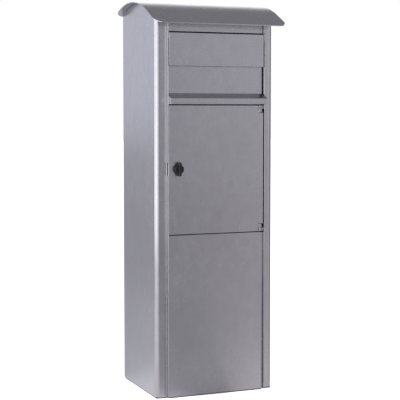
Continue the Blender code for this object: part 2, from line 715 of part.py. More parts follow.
def carry(name, location, children):
    """Empty on a joint axis that its pieces, and their hidden tools, are parented to."""
    empty = bpy.data.objects.new(name, None)
    empty.location = location
    bpy.context.scene.collection.objects.link(empty)
    bpy.context.view_layer.update()
    for child in children:
        for obj in [child] + TOOLS.get(child.name, []):
            obj.parent = empty
            obj.matrix_parent_inverse = empty.matrix_world.inverted()
    return empty


def build_cabinet():
    left_side_shell()
    side_shell("side_shell_right", 1.0)
    back_panel()
    base_plate()
    lower_panel()
    header_panel()
    roof_sheet()
    roof_bearer("roof_bearer_front", Y_STILE + 26 * MM, Y_STILE + 46 * MM)
    roof_bearer("roof_bearer_rear", Y_BACK - 60 * MM, Y_BACK - 40 * MM)
    compartment_floor()
    door_frame()
    mid_rail()
    chute_plate()
    guard_comb()
    gate_rod()
    gate_bracket("gate_bracket_left", -1.0)
    gate_bracket("gate_bracket_right", 1.0)
    gate_spring()
    hatch_rod()
    pivot_plate("pivot_plate_left", -1.0)
    pivot_plate("pivot_plate_right", 1.0)
    for side, x in (("left", -140 * MM), ("right", 140 * MM)):
        button("hatch_bumper_" + side, (x, Z_HATCH_LOW + 2 * MM), Y_STILE + 9.3 * MM, Y_STILE + 10.7 * MM)
    for level, z in (("lower", Z_DOOR_LOW + 38 * MM), ("upper", Z_DOOR_TOP - 35 * MM)):
        button("door_bumper_" + level, (-157 * MM, z), fwd(1.2 * MM), Y_STILE + 4.7 * MM)
    low = Z_DOOR_LOW + 0.5 * MM
    hinge_bracket("hinge_bracket_lower", low, low + 2 * MM, low + 2 * KNUCKLE_H + 0.4 * MM)
    high = Z_DOOR_TOP - 0.5 * MM - KNUCKLE_H
    hinge_bracket("hinge_bracket_upper", high, high - KNUCKLE_H - 0.4 * MM, high + KNUCKLE_H - 2 * MM)


def build_door():
    low = Z_DOOR_LOW + 0.5 * MM + KNUCKLE_H + 0.5 * MM
    high = Z_DOOR_TOP - 0.5 * MM - 2 * KNUCKLE_H - 0.5 * MM
    pieces = [door_panel(), door_stiffener(), door_knuckle("door_knuckle_lower", low),
              door_knuckle("door_knuckle_upper", high), lock_escutcheon(), lock_barrel(), lock_nut()]
    axis = carry("door_axis", (DOOR_AXIS_X, fwd(DOOR_AXIS_FWD), (Z_DOOR_LOW + Z_DOOR_TOP) / 2), pieces)
    turn = carry("lock_axis", (LOCK_X, fwd(FWD_DOOR), LOCK_Z), [lock_knob(), lock_cam()])
    turn.parent = axis
    turn.matrix_parent_inverse = axis.matrix_world.inverted()


def build_hatch():
    pieces = [hatch_panel(), grip_rail(), grip_end("grip_end_left", -1.0), grip_end("grip_end_right", 1.0),
              hatch_ear("hatch_ear_left", -1.0), hatch_ear("hatch_ear_right", 1.0), hatch_spring()]
    for side, x in (("left", -153 * MM), ("right", 153 * MM)):
        centre = (x, Z_FLAP_LOW + 4 * MM)
        pieces.append(button("flap_bumper_" + side, centre, fwd(5.3 * MM), fwd(3.3 * MM)))
    axis = carry("hatch_axis", (0.0, fwd(TOP_AXIS_FWD), TOP_AXIS_Z), pieces)
    flap = carry("flap_axis", (0.0, fwd(TOP_AXIS_FWD), TOP_AXIS_Z), [letter_flap()])
    flap.parent = axis
    flap.matrix_parent_inverse = axis.matrix_world.inverted()


def build_gate():
    carry("gate_axis", (0.0, GATE_AXIS_Y, GATE_AXIS_Z), [drop_gate()])


clear_scene()
build_cabinet()
build_door()
build_hatch()
build_gate()
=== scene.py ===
"""Parcel drop box: folded satin steel cabinet, arched roof, hatch with letter flap, collection door."""
import json
import math

import bmesh
import bpy
from mathutils import Matrix, Vector


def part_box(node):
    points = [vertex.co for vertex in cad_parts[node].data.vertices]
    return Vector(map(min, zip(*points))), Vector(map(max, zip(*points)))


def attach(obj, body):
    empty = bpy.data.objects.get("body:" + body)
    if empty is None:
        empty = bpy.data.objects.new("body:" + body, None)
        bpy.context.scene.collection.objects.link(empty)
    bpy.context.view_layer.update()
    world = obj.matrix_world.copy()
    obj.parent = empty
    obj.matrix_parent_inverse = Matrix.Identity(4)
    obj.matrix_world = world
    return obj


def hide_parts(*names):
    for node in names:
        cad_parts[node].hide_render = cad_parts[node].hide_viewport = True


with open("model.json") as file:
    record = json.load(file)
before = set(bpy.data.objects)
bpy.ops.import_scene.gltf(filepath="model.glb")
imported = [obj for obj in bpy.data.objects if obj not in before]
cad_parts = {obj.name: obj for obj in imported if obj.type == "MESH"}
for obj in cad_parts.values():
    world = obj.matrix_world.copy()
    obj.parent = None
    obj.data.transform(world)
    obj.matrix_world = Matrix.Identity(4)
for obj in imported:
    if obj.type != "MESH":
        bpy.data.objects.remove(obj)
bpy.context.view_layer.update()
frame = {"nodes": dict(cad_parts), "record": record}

MM = 0.001

# Where the eye stands, in metres, then its heading, downward tilt, lens and a small downward shift
EYE = Vector((-1.429, -3.472, 0.899))
HEADING = math.radians(22.39)
TILT = math.radians(-3.61)
LENS_MM = 103.9
CROP = -0.04

# Sheet metal
SHEET = 2.0 * MM
BEND = 1.5 * MM
EDGE = 0.45 * MM
CORNER_R = 15.0 * MM
RIM_DEPTH = 18.0 * MM
REAR_FLANGE = 22.0 * MM

# How far the header's lower edge is let down, to narrow the gap over the hatch
HEADER_DROP = 1.0 * MM

# Lock slit in the left rim: its start and end behind the rim's front, and half its height
RIM_SLIT_FROM = 4.0 * MM
RIM_SLIT_TO = 15.0 * MM
RIM_SLIT_HALF = 19.5 * MM

# Letter slot in the hatch: half its width, its height above the flap's lower edge, its corners
LETTER_SLOT_HALF = 140.0 * MM
LETTER_SLOT_FROM = 20.0 * MM
LETTER_SLOT_TO = 56.0 * MM
LETTER_SLOT_R = 6.0 * MM

# Grip along the hatch: height of its nose, and the short return behind the drip lip
GRIP_NOSE_HEIGHT = 19.0 * MM
GRIP_RETURN = 7.0 * MM

# Bore in the flap's flanges for the hinge rod
ROD_BORE_R = 3.3 * MM

# Collection door: notches for its hinges, hole for the lock, slot in its flange for the cam
DOOR_NOTCH_X = 143.5 * MM
DOOR_NOTCH_HEIGHT = 24.5 * MM
LOCK_HOLE_R = 9.3 * MM
DOOR_SLOT_FROM = 6.0 * MM
DOOR_SLOT_TO = 11.0 * MM
DOOR_SLOT_HALF = 25.0 * MM

# Lock: hole in the rose, drum of the knob, spindle behind it, half the width of the upright wing
ROSE_BORE_R = 4.6 * MM
KNOB_R = 14.5 * MM
SPINDLE_R = 4.0 * MM
WING_HALF = 4.8 * MM
KNOB_RELIEF = 7.0 * MM

# Rounding of the edges of pieces taken straight from the CAD solids
FITTING_EDGE = 0.3 * MM
INNER_EDGE = 0.5 * MM

# Roof section: an arc with a straight front flank
ROOF_R = 355.0 * MM
ROOF_SLOPE = 0.5
ROOF_CREST_Y = 46.0 * MM
ROOF_CORNER_R = 30.0 * MM
ROOF_T = 3.0 * MM
ROOF_SINE = ROOF_SLOPE / math.sqrt(1.0 + ROOF_SLOPE ** 2)

SIDE_LOW, SIDE_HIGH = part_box("side_shell_left")
BODY_HALF = -SIDE_LOW.x
Y_BACK = SIDE_HIGH.y
Y_RIM = SIDE_LOW.y
Y_STILE = Y_RIM + RIM_DEPTH
RIM_OUTER = -SIDE_HIGH.x + SHEET
ROOF_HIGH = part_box("roof_sheet")[1]


def box_of(node):
    """((x0, x1), (y0, y1), (z0, z1)) of a CAD node."""
    low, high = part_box(node)
    return (low.x, high.x), (low.y, high.y), (low.z, high.z)


def middle(node):
    low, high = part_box(node)
    return (low + high) / 2


# ---------------------------------------------------------------- mesh helpers

# A point of an outline (a, b) at some level along each axis
ON_AXIS = {
    "X": lambda a, b, level: (level, a, b),
    "Y": lambda a, b, level: (a, level, b),
    "Z": lambda a, b, level: (a, b, level),
}


def link(name, bm, sharp=32.0):
    """Object from a bmesh, smooth apart from edges sharper than the given angle."""
    bmesh.ops.recalc_face_normals(bm, faces=bm.faces)
    for face in bm.faces:
        face.smooth = True
    for edge in bm.edges:
        if len(edge.link_faces) == 2 and edge.calc_face_angle() > math.radians(sharp):
            edge.smooth = False
    mesh = bpy.data.meshes.new(name)
    bm.to_mesh(mesh)
    bm.free()
    obj = bpy.data.objects.new(name, mesh)
    bpy.context.scene.collection.objects.link(obj)
    return obj


def from_rings(name, rings, closed_ends=True, sharp=32.0):
    """Skin over rings of equal length, each a closed loop of points."""
    bm = bmesh.new()
    rows = [[bm.verts.new(p) for p in ring] for ring in rings]
    count = len(rings[0])
    for low, high in zip(rows, rows[1:]):
        for i in range(count):
            j = (i + 1) % count
            bm.faces.new((low[i], low[j], high[j], high[i]))
    if closed_ends:
        bm.faces.new(rows[0])
        bm.faces.new(rows[-1])
    return link(name, bm, sharp)


def prism(name, outline, low, high, axis="X", sharp=32.0):
    """Closed 2-D outline drawn out along one axis."""
    spot = ON_AXIS[axis]
    return from_rings(name, [[spot(a, b, level) for a, b in outline] for level in (low, high)], sharp=sharp)


def rounded_rectangle(x, z, radius, steps):
    """Corner points of a rectangle with round corners, anticlockwise."""
    points = []
    for cx, cz, start in ((x[1] - radius, z[1] - radius, 0.0), (x[0] + radius, z[1] - radius, 90.0),
                          (x[0] + radius, z[0] + radius, 180.0), (x[1] - radius, z[0] + radius, 270.0)):
        for k in range(steps + 1):
            angle = math.radians(start + 90.0 * k / steps)
            points.append((cx + radius * math.cos(angle), cz + radius * math.sin(angle)))
    return points


def pan(name, x, y, z, bend=BEND, thickness=SHEET, corner=2.6 * MM):
    """Folded sheet pan: flat face at y[0], round bends, four flanges back to y[1]."""
    steps = 5
    levels = []
    for k in range(steps + 1):
        angle = math.radians(90.0 * k / steps)
        levels.append((bend * (1 - math.sin(angle)), y[0] + bend * (1 - math.cos(angle))))
    lip = 0.5 * MM
    levels += [(0.0, y[1] - lip), (0.15 * MM, y[1] - 0.15 * MM), (lip, y[1]), (thickness - lip, y[1]),
               (thickness - 0.15 * MM, y[1] - 0.15 * MM), (thickness, y[1] - lip)]
    inner = max(bend - thickness, 0.3 * MM)
    for k in range(steps, -1, -1):
        angle = math.radians(90.0 * k / steps)
        levels.append((thickness + inner * (1 - math.sin(angle)),
                       y[0] + thickness + inner * (1 - math.cos(angle))))
    rings = []
    for inset, level in levels:
        outline = rounded_rectangle((x[0] + inset, x[1] - inset), (z[0] + inset, z[1] - inset),
                                    max(corner - inset, 0.2 * MM), 4)
        rings.append([(a, level, b) for a, b in outline])
    return from_rings(name, rings)


def fillet(points, radii, steps=10):
    """Stations (point, left normal) along a polyline whose corners are rounded."""
    stations = []
    for i, point in enumerate(points):
        here = Vector(point)
        if i in (0, len(points) - 1):
            along = Vector(points[1]) - here if i == 0 else here - Vector(points[-2])
            along.normalize()
            stations.append((here, Vector((-along.y, along.x))))
            continue
        into = (here - Vector(points[i - 1])).normalized()
        out = (Vector(points[i + 1]) - here).normalized()
        turn = math.atan2(into.x * out.y - into.y * out.x, into.dot(out))
        side = math.copysign(1.0, turn)
        normal = Vector((-into.y, into.x))
        centre = here - into * radii[i] * math.tan(abs(turn) / 2) + normal * radii[i] * side
        for k in range(steps + 1):
            rotated = Matrix.Rotation(turn * k / steps, 2) @ normal
            stations.append((centre - rotated * radii[i] * side, rotated))
    return stations


def folded_outline(points, radii, thickness, steps=6):
    """Closed outline of a folded strip of even thickness, from its middle line."""
    stations = fillet(points, radii, steps)
    left = [tuple(p + n * thickness / 2) for p, n in stations]
    right = [tuple(p - n * thickness / 2) for p, n in stations]
    return left + right[::-1]


def turned(name, centre, profile, axis="Y", steps=48):
    """Round piece from (radius, level) pairs; a profile may start and end on its axis."""
    spot = ON_AXIS[axis]
    bm = bmesh.new()
    rows = []
    for radius, level in profile:
        if radius < 1e-7:
            rows.append([bm.verts.new(spot(centre[0], centre[1], level))])
            continue
        row = []
        for k in range(steps):
            angle = 2 * math.pi * k / steps
            row.append(bm.verts.new(spot(centre[0] + radius * math.cos(angle),
                                         centre[1] + radius * math.sin(angle), level)))
        rows.append(row)
    for low, high in zip(rows, rows[1:]):
        for k in range(steps):
            n = (k + 1) % steps
            corners = [low[k % len(low)], low[n % len(low)], high[n % len(high)], high[k % len(high)]]
            bm.faces.new(list(dict.fromkeys(corners)))
    if len(rows[0]) > 1 and len(rows[-1]) > 1:
        for k in range(steps):
            n = (k + 1) % steps
            bm.faces.new((rows[-1][k], rows[-1][n], rows[0][n], rows[0][k]))
    return link(name, bm)


def swept_wire(name, path, radius, sides=10):
    """Round wire with flat ends along a list of points."""
    points = [Vector(p) for p in path]
    rings = []
    across = None
    for i, here in enumerate(points):
        along = (points[min(i + 1, len(points) - 1)] - points[max(i - 1, 0)]).normalized()
        if across is None:
            across = along.orthogonal().normalized()
        across = (across - along * across.dot(along)).normalized()
        other = along.cross(across)
        rings.append([here + radius * (across * math.cos(2 * math.pi * k / sides)
                                       + other * math.sin(2 * math.pi * k / sides)) for k in range(sides)])
    return from_rings(name, rings, sharp=60.0)


def even_normals(obj):
    """Keep flat faces flat in shading."""
    even = obj.modifiers.new("even", "WEIGHTED_NORMAL")
    even.keep_sharp = True
    return obj


def soften(obj, width=EDGE, segments=3, angle=35.0):
    """Round the sharp edges and keep flat faces flat in shading."""
    mod = obj.modifiers.new("edge", "BEVEL")
    mod.width = width
    mod.segments = segments
    mod.limit_method = "ANGLE"
    mod.angle_limit = math.radians(angle)
    return even_normals(obj)


def cut(obj, tool):
    """Cut a tool body out of a piece for good, and drop the tool."""
    mod = obj.modifiers.new("cut", "BOOLEAN")
    mod.operation = "DIFFERENCE"
    mod.solver = "EXACT"
    mod.object = tool
    carved = bpy.data.meshes.new_from_object(obj.evaluated_get(bpy.context.evaluated_depsgraph_get()))
    obj.modifiers.clear()
    obj.data = carved
    bpy.data.objects.remove(tool)
    return obj


def cut_box(obj, x, y, z, radius=0.0):
    """Cut a block, with its corners rounded across Y if a radius is given."""
    if radius:
        outline = rounded_rectangle(x, z, radius, 5)
        return cut(obj, prism("tool_" + obj.name, outline, y[0], y[1], "Y"))
    outline = [(x[0], z[0]), (x[1], z[0]), (x[1], z[1]), (x[0], z[1])]
    return cut(obj, prism("tool_" + obj.name, outline, y[0], y[1], "Y"))


def place(obj, body, slot, mat, *replaced):
    """Give a piece its finish and its body, and hide the CAD nodes that it stands for."""
    obj.data.materials.clear()
    obj.data.materials.append(mat)
    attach(obj, body)
    if replaced:
        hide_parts(*replaced)
    return obj


# ---------------------------------------------------------------- materials

def add(tree, kind, inputs=None, **settings):
    """One shader node; inputs may be values or the sockets that feed them."""
    node = tree.nodes.new(kind)
    for key, value in settings.items():
        setattr(node, key, value)
    for key, value in (inputs or {}).items():
        if isinstance(value, bpy.types.NodeSocket):
            tree.links.new(value, node.inputs[key])
        else:
            node.inputs[key].default_value = value
    return node


def noise(tree, coords, stretch, detail=3.0, rough=0.55):
    """Noise whose features measure about 1/stretch metres along each axis."""
    scaled = add(tree, "ShaderNodeVectorMath", {0: coords, 1: stretch}, operation="MULTIPLY")
    made = add(tree, "ShaderNodeTexNoise", {"Vector": scaled.outputs[0], "Scale": 1.0, "Detail": detail,
                                            "Roughness": rough})
    return made.outputs["Fac"]


def remap(tree, value, low, high, source=(0.3, 0.7)):
    made = add(tree, "ShaderNodeMapRange", {"Value": value, "From Min": source[0], "From Max": source[1],
                                            "To Min": low, "To Max": high})
    return made.outputs["Result"]


def blend(tree, factor, first, second, mode="MIX"):
    made = add(tree, "ShaderNodeMix", {"Factor": factor}, data_type="RGBA", blend_type=mode)
    for socket, value in ((made.inputs["A"], first), (made.inputs["B"], second)):
        sockets = [s for s in made.inputs if s.name == socket.name and s.type == "RGBA"]
        if isinstance(value, bpy.types.NodeSocket):
            tree.links.new(value, sockets[0])
        else:
            sockets[0].default_value = (*value, 1.0)
    return [s for s in made.outputs if s.type == "RGBA"][0]


def calc(tree, operation, first, second):
    return add(tree, "ShaderNodeMath", {0: first, 1: second}, operation=operation).outputs[0]


def fresh(name):
    mat = bpy.data.materials.new(name)
    mat.use_nodes = True
    tree = mat.node_tree
    shader = tree.nodes["Principled BSDF"]
    coords = add(tree, "ShaderNodeTexCoord").outputs["Object"]
    return mat, tree, shader, coords


def steel(name, dark, light, rough, grain=(700.0, 700.0, 16.0), spangle=0.35, bottom_darkening=0.0):
    """Satin zinc-coated sheet: fine drawn grain, soft crystal patches, slow waves in the sheet."""
    mat, tree, shader, coords = fresh(name)
    lines = noise(tree, coords, grain, 4.0, 0.6)
    patches = add(tree, "ShaderNodeTexVoronoi", {"Vector": coords, "Scale": 85.0, "Randomness": 1.0},
                  feature="SMOOTH_F1")
    cells = add(tree, "ShaderNodeSeparateColor", {"Color": patches.outputs["Color"]}).outputs[0]
    clouds = noise(tree, coords, (5.0, 5.0, 5.0), 2.0, 0.5)
    stains = noise(tree, coords, (38.0, 38.0, 22.0), 5.0, 0.6)
    mottle = calc(tree, "ADD", calc(tree, "MULTIPLY", cells, spangle),
                  calc(tree, "MULTIPLY", clouds, 1.0 - spangle))
    colour = blend(tree, remap(tree, mottle, 0.0, 1.0, (0.25, 0.75)), dark, light)
    streak = remap(tree, lines, 0.97, 1.03, (0.25, 0.75))
    shade = calc(tree, "MULTIPLY", streak, remap(tree, stains, 0.96, 1.03, (0.3, 0.7)))
    # Darker towards the bottom: in patches over the lowest 75 mm, by up to the given amount.
    if bottom_darkening:
        height = add(tree, "ShaderNodeSeparateXYZ", {"Vector": coords}).outputs["Z"]
        low = remap(tree, height, bottom_darkening, 0.0, (0.004, 0.075))
        darkened_patches = calc(tree, "MULTIPLY", low, stains)
        shade = calc(tree, "MULTIPLY", shade, calc(tree, "SUBTRACT", 1.0, darkened_patches))
    grey = add(tree, "ShaderNodeCombineColor", {0: shade, 1: shade, 2: shade}).outputs[0]
    toned = blend(tree, 1.0, colour, grey, "MULTIPLY")
    tree.links.new(toned, shader.inputs["Base Color"])
    uneven = calc(tree, "ADD", remap(tree, clouds, -0.03, 0.03), remap(tree, cells, -0.02, 0.02, (0.0, 1.0)))
    roughness = calc(tree, "ADD", remap(tree, lines, rough - 0.03, rough + 0.03), uneven)
    tree.links.new(roughness, shader.inputs["Roughness"])
    shader.inputs["Metallic"].default_value = 1.0
    fine = add(tree, "ShaderNodeBump", {"Height": lines, "Strength": 0.06, "Distance": 0.12 * MM})
    wave = add(tree, "ShaderNodeBump", {"Height": clouds, "Strength": 0.15, "Distance": 1.5 * MM,
                                        "Normal": fine.outputs[0]})
    tree.links.new(wave.outputs[0], shader.inputs["Normal"])
    return mat


def plated(name, colour, rough):
    """Zinc-plated fittings: slightly yellow bloom in patches, tumbled surface."""
    mat, tree, shader, coords = fresh(name)
    bloom = noise(tree, coords, (60.0, 60.0, 60.0), 4.0)
    pits = noise(tree, coords, (900.0, 900.0, 900.0), 3.0)
    warm = (colour[0] * 1.02, colour[1] * 0.97, colour[2] * 0.86)
    tree.links.new(blend(tree, remap(tree, bloom, 0.0, 0.6), colour, warm), shader.inputs["Base Color"])
    tree.links.new(remap(tree, pits, rough - 0.08, rough + 0.1), shader.inputs["Roughness"])
    shader.inputs["Metallic"].default_value = 1.0
    bump = add(tree, "ShaderNodeBump", {"Height": pits, "Strength": 0.15, "Distance": 0.1 * MM})
    tree.links.new(bump.outputs[0], shader.inputs["Normal"])
    return mat


def moulded(name, colour, rough, grain, depth, wear=0.0):
    """Moulded plastic or rubber with a fine spark-eroded texture and handled high spots."""
    mat, tree, shader, coords = fresh(name)
    stipple = noise(tree, coords, (grain, grain, grain), 2.0)
    handled = noise(tree, coords, (90.0, 90.0, 90.0), 3.0)
    pale = tuple(min(1.0, c * 2.2 + 0.01) for c in colour)
    toned = blend(tree, remap(tree, handled, 0.0, 0.35 + wear), colour, pale)
    tree.links.new(toned, shader.inputs["Base Color"])
    tree.links.new(calc(tree, "ADD", remap(tree, stipple, rough - 0.06, rough + 0.06),
                        remap(tree, handled, 0.05, -0.08)), shader.inputs["Roughness"])
    bump = add(tree, "ShaderNodeBump", {"Height": stipple, "Strength": 0.3, "Distance": depth})
    tree.links.new(bump.outputs[0], shader.inputs["Normal"])
    return mat


def primed_dark_shade(name):
    """Dark steel of the base plate in primer, chalky and scuffed; its darkness is also painted shade,
    standing for the shadow line along the foot of the cabinet.
    """
    mat, tree, shader, coords = fresh(name)
    scuff = noise(tree, coords, (45.0, 45.0, 45.0), 5.0, 0.65)
    # Primer tones, kept dark so they also paint the shadow line along the foot of the cabinet.
    tree.links.new(blend(tree, remap(tree, scuff, 0.0, 1.0), (0.10, 0.10, 0.11), (0.19, 0.19, 0.20)),
                   shader.inputs["Base Color"])
    tree.links.new(remap(tree, scuff, 0.7, 0.5), shader.inputs["Roughness"])
    bump = add(tree, "ShaderNodeBump", {"Height": scuff, "Strength": 0.2, "Distance": 0.3 * MM})
    tree.links.new(bump.outputs[0], shader.inputs["Normal"])
    return mat


OUTER_DARK, OUTER_LIGHT = (0.535, 0.525, 0.552), (0.568, 0.558, 0.586)
ALONG_X = (16.0, 700.0, 700.0)

MAT = {
    "wall": steel("steel_wall", OUTER_DARK, OUTER_LIGHT, 0.24, bottom_darkening=0.06),
    "panel": steel("steel_panel", OUTER_DARK, OUTER_LIGHT, 0.25, bottom_darkening=0.06),
    "door": steel("steel_door", OUTER_DARK, OUTER_LIGHT, 0.25),
    "hatch": steel("steel_hatch", OUTER_DARK, OUTER_LIGHT, 0.25, grain=ALONG_X),
    "roof": steel("steel_roof", OUTER_DARK, OUTER_LIGHT, 0.24, grain=ALONG_X),
    "inner": steel("steel_inner", (0.42, 0.42, 0.44), (0.50, 0.50, 0.52), 0.42, spangle=0.7),
    "zinc": plated("zinc_plated", (0.50, 0.51, 0.53), 0.38),
    "knob": moulded("black_knob", (0.008, 0.008, 0.009), 0.46, 1500.0, 0.05 * MM, 0.2),
    "rubber": moulded("rubber", (0.018, 0.018, 0.018), 0.7, 900.0, 0.08 * MM),
    "base": primed_dark_shade("base_primer_painted_shade"),
}


# ---------------------------------------------------------------- cabinet

def roof_height(y, radius):
    """Height of an arc about the roof's own centre, straight on the front flank."""
    tangent = ROOF_CREST_Y - ROOF_SINE * radius
    centre_z = ROOF_HIGH.z - ROOF_R
    if y >= tangent:
        return centre_z + math.sqrt(radius ** 2 - (y - ROOF_CREST_Y) ** 2)
    return centre_z + math.sqrt(radius ** 2 - (tangent - ROOF_CREST_Y) ** 2) - ROOF_SLOPE * (tangent - y)


def side_wall(name, sign):
    """Side, rounded front corner, stile and forward-turned rim, folded from one sheet."""
    half = SHEET / 2
    path = [(BODY_HALF - REAR_FLANGE, Y_BACK - half), (BODY_HALF - half, Y_BACK - half),
            (BODY_HALF - half, Y_STILE + half), (RIM_OUTER - half, Y_STILE + half),
            (RIM_OUTER - half, Y_RIM)]
    stations = []
    for point, normal in fillet(path, [0.0, BEND, CORNER_R - half, BEND, 0.0]):
        if stations and abs(point.y - stations[-1][0].y) > 0.1:
            start = stations[-1][0]
            stations += [(start.lerp(point, k / 30), normal) for k in range(1, 30)]
        stations.append((point, normal))
    gap = 0.4 * MM
    rings = []
    for point, normal in stations:
        outer, inner = point + normal * half, point - normal * half
        ring = []
        for edge, top in ((outer, False), (outer, True), (inner, True), (inner, False)):
            z = roof_height(edge.y, ROOF_R - ROOF_T) - gap if top else SIDE_LOW.z
            ring.append((sign * edge.x, edge.y, z))
        rings.append(ring)
    return from_rings(name, rings)


def side_walls():
    left = side_wall("side_wall_left", -1.0)
    knob = middle("lock_knob").z
    cut_box(left, (-RIM_OUTER - 3 * MM, -RIM_OUTER + 5 * MM), (Y_RIM + RIM_SLIT_FROM, Y_RIM + RIM_SLIT_TO),
            (knob - RIM_SLIT_HALF, knob + RIM_SLIT_HALF))
    place(soften(left, 0.9 * MM), "cabinet", "outer_steel", MAT["wall"], "side_shell_left")
    right = side_wall("side_wall_right", 1.0)
    place(soften(right, 0.9 * MM), "cabinet", "outer_steel", MAT["wall"], "side_shell_right")


def roof():
    """Arched sheet with rounded plan corners."""
    half_x, half_y = ROOF_HIGH.x, ROOF_HIGH.y
    straight = half_y - ROOF_CORNER_R
    steps = 14
    rounded = [-half_y + ROOF_CORNER_R * (1 - math.cos(math.pi / 2 * k / steps)) for k in range(steps)]
    level = [-straight + 2 * straight * k / 48 for k in range(49)]
    depths = rounded + level + [-depth for depth in reversed(rounded)]
    rings = []
    for y in depths:
        over = max(0.0, abs(y) - straight)
        reach = half_x - ROOF_CORNER_R + math.sqrt(max(0.0, ROOF_CORNER_R ** 2 - over ** 2))
        z = roof_height(y, ROOF_R)
        lean = max((y - ROOF_CREST_Y) / ROOF_R, -ROOF_SINE)
        under = (y - lean * ROOF_T, z - math.sqrt(1 - lean ** 2) * ROOF_T)
        rings.append([(-reach, y, z), (reach, y, z), (reach, *under), (-reach, *under)])
    obj = from_rings("roof", rings)
    place(soften(obj, 1.1 * MM, 4), "cabinet", "outer_steel", MAT["roof"], "roof_sheet")


def fixed_panels():
    x, y, z = box_of("header_panel")
    header = even_normals(pan("header", x, y, (z[0] - HEADER_DROP, z[1])))
    place(header, "cabinet", "outer_steel", MAT["hatch"], "header_panel")
    lower = even_normals(pan("lower_front", *box_of("lower_panel")))
    place(lower, "cabinet", "outer_steel", MAT["panel"], "lower_panel")


# ---------------------------------------------------------------- hatch and flap

def hatch():
    x, y, z = box_of("hatch_panel")
    panel = pan("hatch_sheet", x, y, z)
    flap_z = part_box("letter_flap")[0].z
    cut_box(panel, (-LETTER_SLOT_HALF, LETTER_SLOT_HALF), (y[0] - 5 * MM, y[0] + 6 * MM),
            (flap_z + LETTER_SLOT_FROM, flap_z + LETTER_SLOT_TO), LETTER_SLOT_R)
    place(soften(panel, 0.3 * MM, 2), "hatch", "outer_steel", MAT["hatch"], "hatch_panel")

    rx, ry, rz = box_of("grip_rail")
    t = SHEET
    front, back = ry[0] + t / 2, y[0]
    top = rz[1]
    nose_z = rz[0] + GRIP_NOSE_HEIGHT
    profile = folded_outline([(back, top - t / 2), (front, nose_z - t / 2), (front, rz[0] + t / 2),
                              (front + GRIP_RETURN, rz[0] + t / 2)], [0.0, 2.2 * MM, 1.6 * MM, 0.0], t)
    rail = prism("grip_lip", profile, rx[0], rx[1])
    place(soften(rail, 0.35 * MM, 2), "hatch", "outer_steel", MAT["hatch"], "grip_rail")
    for side in ("left", "right"):
        node = "grip_end_" + side
        ex, ey, ez = box_of(node)
        slope_z = ez[1]
        outline = [(ey[1], ez[0]), (ey[1], slope_z)]
        outline += [tuple(p) for p, _ in fillet([(ey[1], slope_z), (ey[0], nose_z), (ey[0], ez[0])],
                                                [0.0, 2.8 * MM, 0.0], 6)][1:]
        end = prism("grip_cheek_" + side, outline, ex[0], ex[1])
        place(soften(end, 0.5 * MM, 3), "hatch", "outer_steel", MAT["hatch"], node)


def letter_flap():
    x, y, z = box_of("letter_flap")
    rod = middle("hatch_rod")
    flap = pan("letter_flap_sheet", x, y, z)
    relief = prism("tool_relief", [(y[0] + SHEET, rod.z + 4 * MM), (y[1] + 3 * MM, rod.z + 4 * MM),
                                   (y[1] + 3 * MM, z[1] + 3 * MM), (y[0] + SHEET, z[1] + 3 * MM)],
                   x[0] - 2 * MM, x[1] + 2 * MM)
    cut(flap, relief)
    bore = turned("tool_bore", (rod.y, rod.z), [(0.0, x[0] - 3 * MM), (ROD_BORE_R, x[0] - 3 * MM),
                                                (ROD_BORE_R, x[1] + 3 * MM), (0.0, x[1] + 3 * MM)], "X", 32)
    cut(flap, bore)
    place(soften(flap, 0.25 * MM, 2), "flap", "outer_steel", MAT["hatch"], "letter_flap")


# ---------------------------------------------------------------- collection door

def door():
    x, y, z = box_of("door_panel")
    lock = middle("lock_knob")
    panel = pan("door_sheet", x, y, z)
    for low, high in ((z[0] - 2 * MM, z[0] + DOOR_NOTCH_HEIGHT), (z[1] - DOOR_NOTCH_HEIGHT, z[1] + 2 * MM)):
        cut_box(panel, (DOOR_NOTCH_X, x[1] + 3 * MM), (y[0] - 3 * MM, y[1] + 3 * MM), (low, high))
    cut(panel, turned("tool_lock_hole", (lock.x, lock.z),
                      [(0.0, y[0] - 2 * MM), (LOCK_HOLE_R, y[0] - 2 * MM), (LOCK_HOLE_R, y[0] + 5 * MM),
                       (0.0, y[0] + 5 * MM)]))
    cut_box(panel, (x[0] - 2 * MM, x[0] + 4 * MM), (y[0] + DOOR_SLOT_FROM, y[0] + DOOR_SLOT_TO),
            (lock.z - DOOR_SLOT_HALF, lock.z + DOOR_SLOT_HALF))
    place(soften(panel, 0.3 * MM, 2), "door", "outer_steel", MAT["door"], "door_panel")


